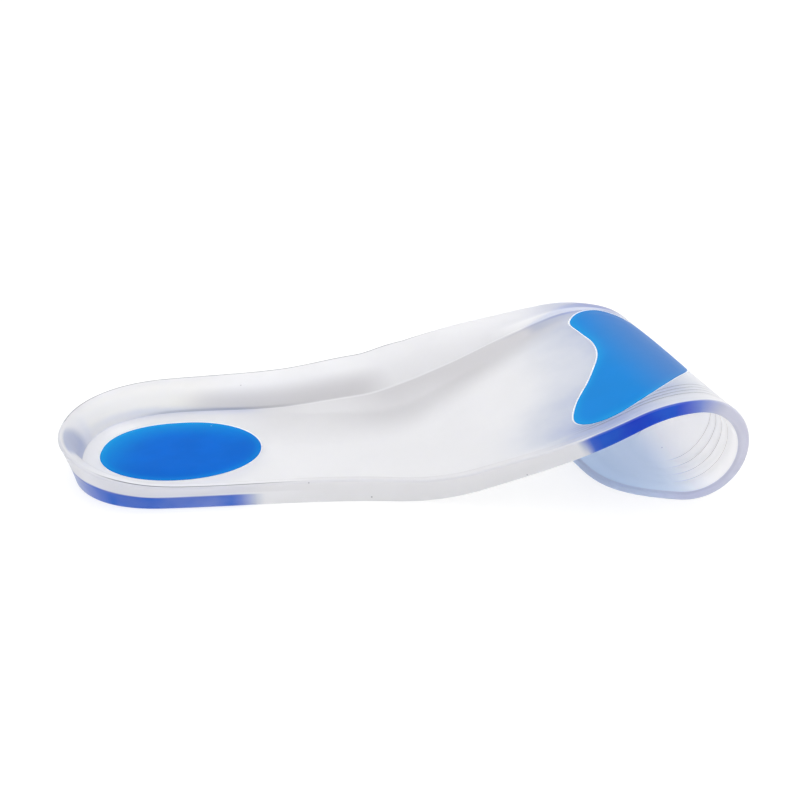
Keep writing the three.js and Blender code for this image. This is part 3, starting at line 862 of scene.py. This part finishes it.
def pad_rings(rows, middle, thin, sizes):
    """Rings of a flat gel pad from the middle of its underside to the middle of its top, with masks."""
    place, out, spine = pad_outline(rows, middle, sizes.pad_points)
    deep, proud = sizes.pad_depth / MM, sizes.pad_proud / MM
    crown, soft = sizes.pad_crown / MM, sizes.pad_round / MM
    level = PAD_SHOULDERS[-1]
    under, top = place - out * PAD_UNDER_INSET, place - out * level
    rings = [over_floor(spine + (under - spine) * share, -deep) for share in PAD_UNDER_SHARES]
    for inward, up in PAD_UNDER_ROUND:
        rings.append(over_floor(place - out * inward, up - deep))
    for turn in ROUND_TURNS:
        inward = soft * (1 - math.cos(turn))
        rings.append(over_floor(place - out * inward, proud - soft + soft * math.sin(turn)))
    for inward in PAD_SHOULDERS:
        rise = 0.3 * math.sin(math.pi / 2 * inward / level)
        rings.append(over_floor(place - out * inward, proud + crown * rise))
    for share in PAD_TOP_SHARES:
        rings.append(over_floor(spine + (top - spine) * share, proud + crown * (1 - 0.7 * share**2)))
    masks = {"thin_gel": [thin(ring) for ring in rings], "bent_gel": [bent_gel(ring) for ring in rings]}
    return rings, masks


def bent_gel(flat):
    """Where the gel gets a painted violet sheen round the bend: all of the forefoot pad a little, most of all
    its front.
    """
    along, across = flat[:, 0], flat[:, 1]
    return smooth_step(120, 150, along) * (0.1 + 0.65 * smooth_step(166, 184, along + 0.1 * across))


def thin_heel_gel(flat):
    """Where the heel pad is lighter blue: a thin band all round its edge, and a broader one along its back
    and its arch side.
    """
    inward = np.maximum(0, -past_heel_pad(flat))
    back, arch = from_heel_pad(flat)
    facing = smooth_step(-0.5, 0.9, 0.55 * back + 0.85 * arch)
    return 0.35 * bell(inward, 0, 1.5) + 0.65 * bell(inward, 0, 7.0) * facing


def thin_forefoot_gel(flat):
    """Where the forefoot pad looks thin and light: nearly all over, most of all along its edge."""
    inward = np.maximum(0, -past_forefoot_pad(flat))
    return 0.53 + 0.36 * bell(inward, 0, 2.0)


def pocket_rings(rows, middle, sizes):
    """Rings of the flat form that cuts a pad's pocket, with a shallow bevel round its mouth."""
    place, out, spine = pad_outline(rows, middle, sizes.pad_points)
    deep, gap = sizes.pad_depth / MM, sizes.pocket_gap / MM
    lip, drop = sizes.pocket_lip / MM, sizes.pocket_drop / MM
    wall = place + out * gap
    shares = (*PAD_UNDER_SHARES, 1.0)
    rings = [over_floor(spine + (wall - spine) * share, -deep - gap) for share in shares]
    rings.append(over_floor(wall, -drop))
    rings.append(over_floor(place + out * (gap + lip), 0.0))
    rings.append(over_floor(place + out * (gap + 3 * lip), 2 * drop))
    rings += [over_floor(spine + (place - spine) * share, 2 * drop + 1) for share in shares[::-1]]
    return rings


def flat_places(mesh):
    """Places of a flat piece's corners, in millimetres."""
    places = np.empty(len(mesh.vertices) * 3, dtype=np.float32)
    mesh.vertices.foreach_get("co", places)
    return places.reshape(-1, 3).astype(float) / MM


def mask_values(mesh, name):
    """Values of one of a piece's masks."""
    values = np.empty(len(mesh.vertices), dtype=np.float32)
    mesh.attributes[name].data.foreach_get("value", values)
    return values


def roll_up(obj):
    """Takes a piece that was modelled flat to its place on the rolled insole."""
    mesh = obj.data
    placed = rolled(flat_places(mesh))
    mesh.vertices.foreach_set("co", placed.astype(np.float32).ravel())
    mesh.update()


def finish_piece(obj, node, material, angle):
    """Smooths a piece, gives it its finish, and puts it in the place of its plain solid."""
    select_only(obj)
    bpy.ops.object.shade_smooth_by_angle(angle=angle)
    obj.data.materials.clear()
    obj.data.materials.append(material)
    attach(obj, "root")
    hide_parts(node)


def cut_pocket(body, cutter):
    """Cuts a pocket out of the body, whose faces it marks, and removes the form that cut it."""
    # Faces marked as pocket are painted white as the highlight round the pads
    marks = np.ones(len(cutter.data.polygons), dtype=np.float32)
    cutter.data.attributes["pocket"].data.foreach_set("value", marks)
    select_only(body)
    before = len(body.data.polygons)
    pocket = body.modifiers.new("pocket", 'BOOLEAN')
    pocket.operation = 'DIFFERENCE'
    pocket.solver = 'EXACT'
    pocket.object = cutter
    bpy.ops.object.modifier_apply(modifier=pocket.name)
    spent = cutter.data
    bpy.data.objects.remove(cutter)
    bpy.data.meshes.remove(spent)
    if len(body.data.polygons) == before:
        raise RuntimeError("a pocket was not cut")


def tint_new_corners(body):
    """Gives the corners that the pockets' cutting made the faint blue of the floor about them."""
    mesh = body.data
    fresh = floor_glow(flat_places(mesh))
    glow = np.where(mask_values(mesh, "made") > 0.5, mask_values(mesh, "gel_glow"), fresh)
    mesh.attributes["gel_glow"].data.foreach_set("value", glow.astype(np.float32))
    mesh.attributes.remove(mesh.attributes["made"])


def set_inputs(node, **values):
    """Sets the values of a node's inputs."""
    for name, value in values.items():
        node.inputs[name.replace("_", " ")].default_value = value


def add_node(tree, kind, **values):
    """Adds a node and sets the values of its inputs."""
    node = tree.nodes.new(kind)
    set_inputs(node, **values)
    return node


def link(tree, *pairs):
    """Joins output sockets to input sockets."""
    for source, target in pairs:
        tree.links.new(source, target)


def attribute_fac(tree, name):
    """Value of one of the piece's own masks."""
    node = tree.nodes.new('ShaderNodeAttribute')
    node.attribute_name = name
    return node.outputs["Fac"]


def mixed(tree, factor, first, second):
    """Colour mixed from two, each a socket or a colour."""
    node = tree.nodes.new('ShaderNodeMix')
    node.data_type = 'RGBA'
    for socket, value in ((node.inputs[0], factor), (node.inputs[6], first), (node.inputs[7], second)):
        if isinstance(value, bpy.types.NodeSocket):
            tree.links.new(value, socket)
        elif isinstance(value, float):
            socket.default_value = value
        else:
            socket.default_value = (*value, 1.0)
    return node.outputs[2]


def reckon(tree, operation, first, second=0.0):
    """Result of one sum, each term a socket or a number."""
    node = tree.nodes.new('ShaderNodeMath')
    node.operation = operation
    for socket, value in zip(node.inputs, (first, second)):
        if isinstance(value, bpy.types.NodeSocket):
            tree.links.new(value, socket)
        else:
            socket.default_value = value
    return node.outputs[0]


def spread(tree, value, low, high, to_low=0.0, to_high=1.0):
    """Value moved smoothly from one range to another."""
    node = tree.nodes.new('ShaderNodeMapRange')
    node.interpolation_type = 'SMOOTHSTEP'
    tree.links.new(value, node.inputs["Value"])
    for name, number in (("From Min", low), ("From Max", high), ("To Min", to_low), ("To Max", to_high)):
        node.inputs[name].default_value = number
    return node.outputs["Result"]


def moulded_surface():
    """Node group for a cast surface: soft mottling, uneven gloss, faint ripples and specks of dust."""
    name = "Moulded surface"
    if name in bpy.data.node_groups:
        return bpy.data.node_groups[name]
    group = bpy.data.node_groups.new(name, 'ShaderNodeTree')
    face = group.interface
    for value, number in (("Mottle size", 60.0), ("Gloss low", 0.2), ("Gloss high", 0.3)):
        face.new_socket(value, in_out='INPUT', socket_type='NodeSocketFloat').default_value = number
    for output in ("Mottle", "Roughness", "Height", "Specks"):
        face.new_socket(output, in_out='OUTPUT', socket_type='NodeSocketFloat')
    enter = group.nodes.new('NodeGroupInput')
    leave = group.nodes.new('NodeGroupOutput')
    place = group.nodes.new('ShaderNodeTexCoord').outputs["Object"]
    mottle = add_node(group, 'ShaderNodeTexNoise', Detail=3.0, Roughness=0.55)
    fine = add_node(group, 'ShaderNodeTexNoise', Scale=420.0, Detail=2.0)
    ripple = add_node(group, 'ShaderNodeTexNoise', Scale=130.0, Detail=1.0)
    specks = add_node(group, 'ShaderNodeTexVoronoi', Scale=160.0)
    pick = add_node(group, 'ShaderNodeTexWhiteNoise')
    gloss = group.nodes.new('ShaderNodeMapRange')
    link(
        group,
        *((place, pattern.inputs["Vector"]) for pattern in (mottle, fine, ripple, specks)),
        (enter.outputs["Mottle size"], mottle.inputs["Scale"]),
        (fine.outputs["Fac"], gloss.inputs["Value"]),
        (enter.outputs["Gloss low"], gloss.inputs["To Min"]),
        (enter.outputs["Gloss high"], gloss.inputs["To Max"]),
        (specks.outputs["Position"], pick.inputs["Vector"]),
    )
    dot = spread(group, specks.outputs["Distance"], 0.05, 0.025)
    rare = reckon(group, 'GREATER_THAN', pick.outputs["Value"], 0.75)
    grain = reckon(group, 'MULTIPLY', fine.outputs["Fac"], 0.15)
    height = reckon(group, 'ADD', ripple.outputs["Fac"], grain)
    link(
        group,
        (mottle.outputs["Fac"], leave.inputs["Mottle"]),
        (gloss.outputs["Result"], leave.inputs["Roughness"]),
        (height, leave.inputs["Height"]),
        (reckon(group, 'MULTIPLY', dot, rare), leave.inputs["Specks"]),
    )
    return group


def surface_node(tree, mottle_size, gloss_low, gloss_high):
    """Places the moulded surface in a material with the material's own values."""
    node = tree.nodes.new('ShaderNodeGroup')
    node.node_tree = moulded_surface()
    set_inputs(node, Mottle_size=mottle_size, Gloss_low=gloss_low, Gloss_high=gloss_high)
    return node


def rippled(tree, surface, shader, strength):
    """Bends the light on the surface by its faint ripples."""
    bump = add_node(tree, 'ShaderNodeBump', Strength=strength, Distance=0.0004)
    link(
        tree,
        (surface.outputs["Height"], bump.inputs["Height"]),
        (bump.outputs["Normal"], shader.inputs["Normal"]),
    )


def new_material(name):
    """Empty node material, its tree and its shader."""
    material = bpy.data.materials.new(name)
    material.use_nodes = True
    tree = material.node_tree
    shader = next(node for node in tree.nodes if node.type == 'BSDF_PRINCIPLED')
    return material, tree, shader


def silicone_material(looks):
    """Milky clear silicone, blue where the gel shows through it, with light and shade painted into its
    colour: lavender refraction shade along its edges, grey shade, white highlights, the gel's reflected blue
    and a glow.
    """
    material, tree, shader = new_material("clear silicone")
    surface = surface_node(tree, 45.0, 0.3, 0.38)
    mottle = surface.outputs["Mottle"]
    cloudy = [0.97 * channel for channel in looks.silicone]
    milky = mixed(tree, spread(tree, mottle, 0.3, 0.7), looks.silicone, cloudy)
    # Painted light where light falls through the silicone
    clear = mixed(tree, attribute_fac(tree, "bright"), milky, looks.bright)
    glow = attribute_fac(tree, "gel_glow")
    uneven = reckon(tree, 'MULTIPLY', glow, spread(tree, mottle, 0.25, 0.75, 0.8, 1.15))
    blues = tree.nodes.new('ShaderNodeValToRGB')
    stops = (
        (0.16, looks.glow_faint), (0.36, looks.glow_pale), (0.54, looks.glow_half),
        (0.74, looks.glow_middle), (1.0, looks.glow_deep),
    )
    while len(blues.color_ramp.elements) < len(stops):
        blues.color_ramp.elements.new(0.5)
    for stop, (position, colour) in zip(blues.color_ramp.elements, stops):
        stop.position = position
        stop.color = (*colour, 1.0)
    link(tree, (uneven, blues.inputs["Fac"]))
    blue = mixed(tree, spread(tree, uneven, 0.0, 0.22), clear, blues.outputs["Color"])
    # Painted reflection of the gel's blue on the rolled-under toe
    toe = mixed(tree, attribute_fac(tree, "toe_blue"), blue, looks.toe_blue)
    # Painted shade at the foot of the walls, beside the arch, at the heel and in the rolled toe
    shaded = mixed(tree, attribute_fac(tree, "shade"), toe, looks.shade)
    # Painted shade that refraction lays along the edges
    edged = mixed(tree, attribute_fac(tree, "edge_tint"), shaded, looks.edge_tint)
    # Painted shade lines in the trim lines, along the rim and at the wall's foot; the specks below are dust
    line = reckon(tree, 'MULTIPLY', attribute_fac(tree, "trim_line"), 0.95)
    grooved = mixed(tree, line, edged, looks.line)
    # Painted highlights: the pockets' bevels and the crease painted white
    white = reckon(tree, 'MAXIMUM', attribute_fac(tree, "pocket"), attribute_fac(tree, "crease"))
    lipped = mixed(tree, white, grooved, looks.lip)
    dusty = mixed(tree, reckon(tree, 'MULTIPLY', surface.outputs["Specks"], 0.7), lipped, looks.line)
    # Painted glow: emission where light seems to come through the silicone
    lit = mixed(tree, attribute_fac(tree, "lit_through"), (0.0, 0.0, 0.0), dusty)
    link(
        tree,
        (dusty, shader.inputs["Base Color"]),
        (lit, shader.inputs["Emission Color"]),
        (surface.outputs["Roughness"], shader.inputs["Roughness"]),
    )
    rippled(tree, surface, shader, 0.12)
    set_inputs(
        shader, IOR=SILICONE_IOR, Specular_IOR_Level=0.08, Transmission_Weight=0.4, Emission_Strength=0.28,
        Subsurface_Weight=0.35, Subsurface_Radius=(1.0, 1.0, 1.1), Subsurface_Scale=0.0022)
    return material


def gel_material(looks):
    """Blue gel: deep in the middle, lighter along the edge where it is thin, with a painted violet sheen
    round the bend.
    """
    name = "blue gel"
    if name in bpy.data.materials:
        return bpy.data.materials[name]
    material, tree, shader = new_material(name)
    surface = surface_node(tree, 60.0, 0.3, 0.4)
    mottle = spread(tree, surface.outputs["Mottle"], 0.3, 0.7)
    deep = mixed(tree, mottle, looks.gel, [0.88 * channel for channel in looks.gel])
    light = mixed(tree, attribute_fac(tree, "thin_gel"), deep, looks.gel_edge)
    bent = mixed(tree, attribute_fac(tree, "bent_gel"), light, looks.gel_bend)
    dusty = mixed(tree, reckon(tree, 'MULTIPLY', surface.outputs["Specks"], 0.3), bent, looks.gel_dust)
    link(
        tree,
        (dusty, shader.inputs["Base Color"]),
        (surface.outputs["Roughness"], shader.inputs["Roughness"]),
    )
    rippled(tree, surface, shader, 0.1)
    set_inputs(
        shader, IOR=SILICONE_IOR, Specular_IOR_Level=0.02,
        Subsurface_Weight=0.1, Subsurface_Radius=(0.3, 0.6, 1.0), Subsurface_Scale=0.001)
    return material


def model_pad(scene, name, node, rows, middle, thin):
    """Models a gel pad flat, and rolls it with the body."""
    pad = ringed_form(name, *pad_rings(rows, middle, thin, scene.insole_sizes))
    roll_up(pad)
    finish_piece(pad, node, gel_material(scene.insole_finishes), PAD_SMOOTH)


class INSOLE_OT_body(bpy.types.Operator):
    """Models the silicone body flat, cuts the pockets for the pads and rolls its forefoot under"""
    bl_idname = "insole.body"
    bl_label = "Silicone body"

    def execute(self, context):
        sizes, looks = context.scene.insole_sizes, context.scene.insole_finishes
        rings, masks = body_rings(sizes)
        body = ringed_form("silicone_body", rings, masks)
        for rows, middle in ((heel_rows, HEEL_MIDDLE), (forefoot_rows, FOREFOOT_MIDDLE)):
            cut_pocket(body, ringed_form("pocket_cutter", pocket_rings(rows, middle, sizes), {}))
        tint_new_corners(body)
        roll_up(body)
        finish_piece(body, "insole_body", silicone_material(looks), BODY_SMOOTH)
        return {'FINISHED'}


class INSOLE_OT_heel_gel(bpy.types.Operator):
    """Models the oval gel pad under the heel"""
    bl_idname = "insole.heel_gel"
    bl_label = "Heel gel pad"

    def execute(self, context):
        model_pad(context.scene, "heel_gel", "heel_pad", heel_rows, HEEL_MIDDLE, thin_heel_gel)
        return {'FINISHED'}


class INSOLE_OT_forefoot_gel(bpy.types.Operator):
    """Models the crescent gel pad under the ball of the foot and rolls it with the body"""
    bl_idname = "insole.forefoot_gel"
    bl_label = "Forefoot gel pad"

    def execute(self, context):
        model_pad(
            context.scene, "forefoot_gel", "forefoot_pad", forefoot_rows, FOREFOOT_MIDDLE, thin_forefoot_gel)
        return {'FINISHED'}


class INSOLE_OT_stage(bpy.types.Operator):
    """Sets up the pale floor, the soft white studio light and the camera"""
    bl_idname = "insole.stage"
    bl_label = "Studio"

    def execute(self, context):
        studio = context.scene.insole_studio
        deselect_all()
        bpy.ops.mesh.primitive_plane_add(size=40.0, location=(0, 0, -0.00005))
        floor = context.object
        floor.name = "studio_floor"
        material, _, shader = new_material("studio floor")
        set_inputs(
            shader, Base_Color=(*studio.floor, 1.0), Roughness=0.9, Specular_IOR_Level=0.1,
            Emission_Color=(1.0, 1.0, 1.0, 1.0), Emission_Strength=studio.floor_light)
        material.cycles.emission_sampling = 'NONE'
        floor.data.materials.append(material)

        world = bpy.data.worlds.new("studio walls")
        world.use_nodes = True
        back = next(node for node in world.node_tree.nodes if node.type == 'BACKGROUND')
        set_inputs(back, Color=(1.0, 1.0, 1.0, 1.0), Strength=studio.surround)
        context.scene.world = world

        lamps = (
            ("overhead", (1.2, 1.0), studio.key_power, (-0.12, 0.05, 0.8)),
            ("front", (0.7, 0.4), studio.fill_power, (0.35, -0.8, 0.22)),
        )
        for name, size, power, place in lamps:
            lamp = bpy.data.lights.new(name, 'AREA')
            lamp.shape = 'RECTANGLE'
            lamp.size, lamp.size_y = size
            lamp.energy = power
            light = bpy.data.objects.new(name, lamp)
            light.location = place
            light.rotation_euler = (-Vector(place)).to_track_quat('-Z', 'Y').to_euler()
            context.scene.collection.objects.link(light)

        lens = bpy.data.cameras.new("camera")
        lens.lens = studio.lens
        lens.sensor_width = 36.0
        lens.clip_start = 0.01
        camera = bpy.data.objects.new("camera", lens)
        around, above = studio.azimuth, studio.elevation
        back_off = Vector((
            math.sin(around) * math.cos(above),
            -math.cos(around) * math.cos(above),
            math.sin(above),
        ))
        stand = Matrix.Translation(Vector(studio.target) + back_off * studio.distance)
        aim = (-back_off).to_track_quat('-Z', 'Y').to_matrix().to_4x4()
        camera.matrix_world = stand @ aim @ Matrix.Rotation(studio.tilt, 4, 'Z')
        context.scene.collection.objects.link(camera)
        context.scene.camera = camera
        context.scene.view_settings.view_transform = 'Standard'
        return {'FINISHED'}


class INSOLE_PT_panel(bpy.types.Panel):
    """Lists the insole's pieces and its sizes"""
    bl_idname = "INSOLE_PT_panel"
    bl_label = "Silicone insole"
    bl_space_type = 'VIEW_3D'
    bl_region_type = 'UI'
    bl_category = "Insole"

    def draw(self, context):
        for operator in OPERATORS:
            self.layout.operator(operator.bl_idname)
        for group in GROUPS:
            settings = getattr(context.scene, group)
            box = self.layout.box()
            for name in settings.__annotations__:
                box.prop(settings, name)


GROUPS = {"insole_sizes": InsoleSizes, "insole_finishes": InsoleFinishes, "insole_studio": StudioSettings}
OPERATORS = (INSOLE_OT_body, INSOLE_OT_heel_gel, INSOLE_OT_forefoot_gel, INSOLE_OT_stage)


def register():
    """Makes the settings, the operators and the panel known."""
    for name, group in GROUPS.items():
        bpy.utils.register_class(group)
        setattr(bpy.types.Scene, name, PointerProperty(type=group))
    for operator in OPERATORS:
        bpy.utils.register_class(operator)
    bpy.utils.register_class(INSOLE_PT_panel)


def unregister():
    """Takes them away again."""
    bpy.utils.unregister_class(INSOLE_PT_panel)
    for operator in reversed(OPERATORS):
        bpy.utils.unregister_class(operator)
    for name, group in reversed(GROUPS.items()):
        delattr(bpy.types.Scene, name)
        bpy.utils.unregister_class(group)


def main():
    """Makes the settings known, models the pieces in order and sets up the studio."""
    register()
    bpy.ops.insole.body()
    bpy.ops.insole.heel_gel()
    bpy.ops.insole.forefoot_gel()
    bpy.ops.insole.stage()
    bpy.context.view_layer.update()


if __name__ == "__main__":
    main()
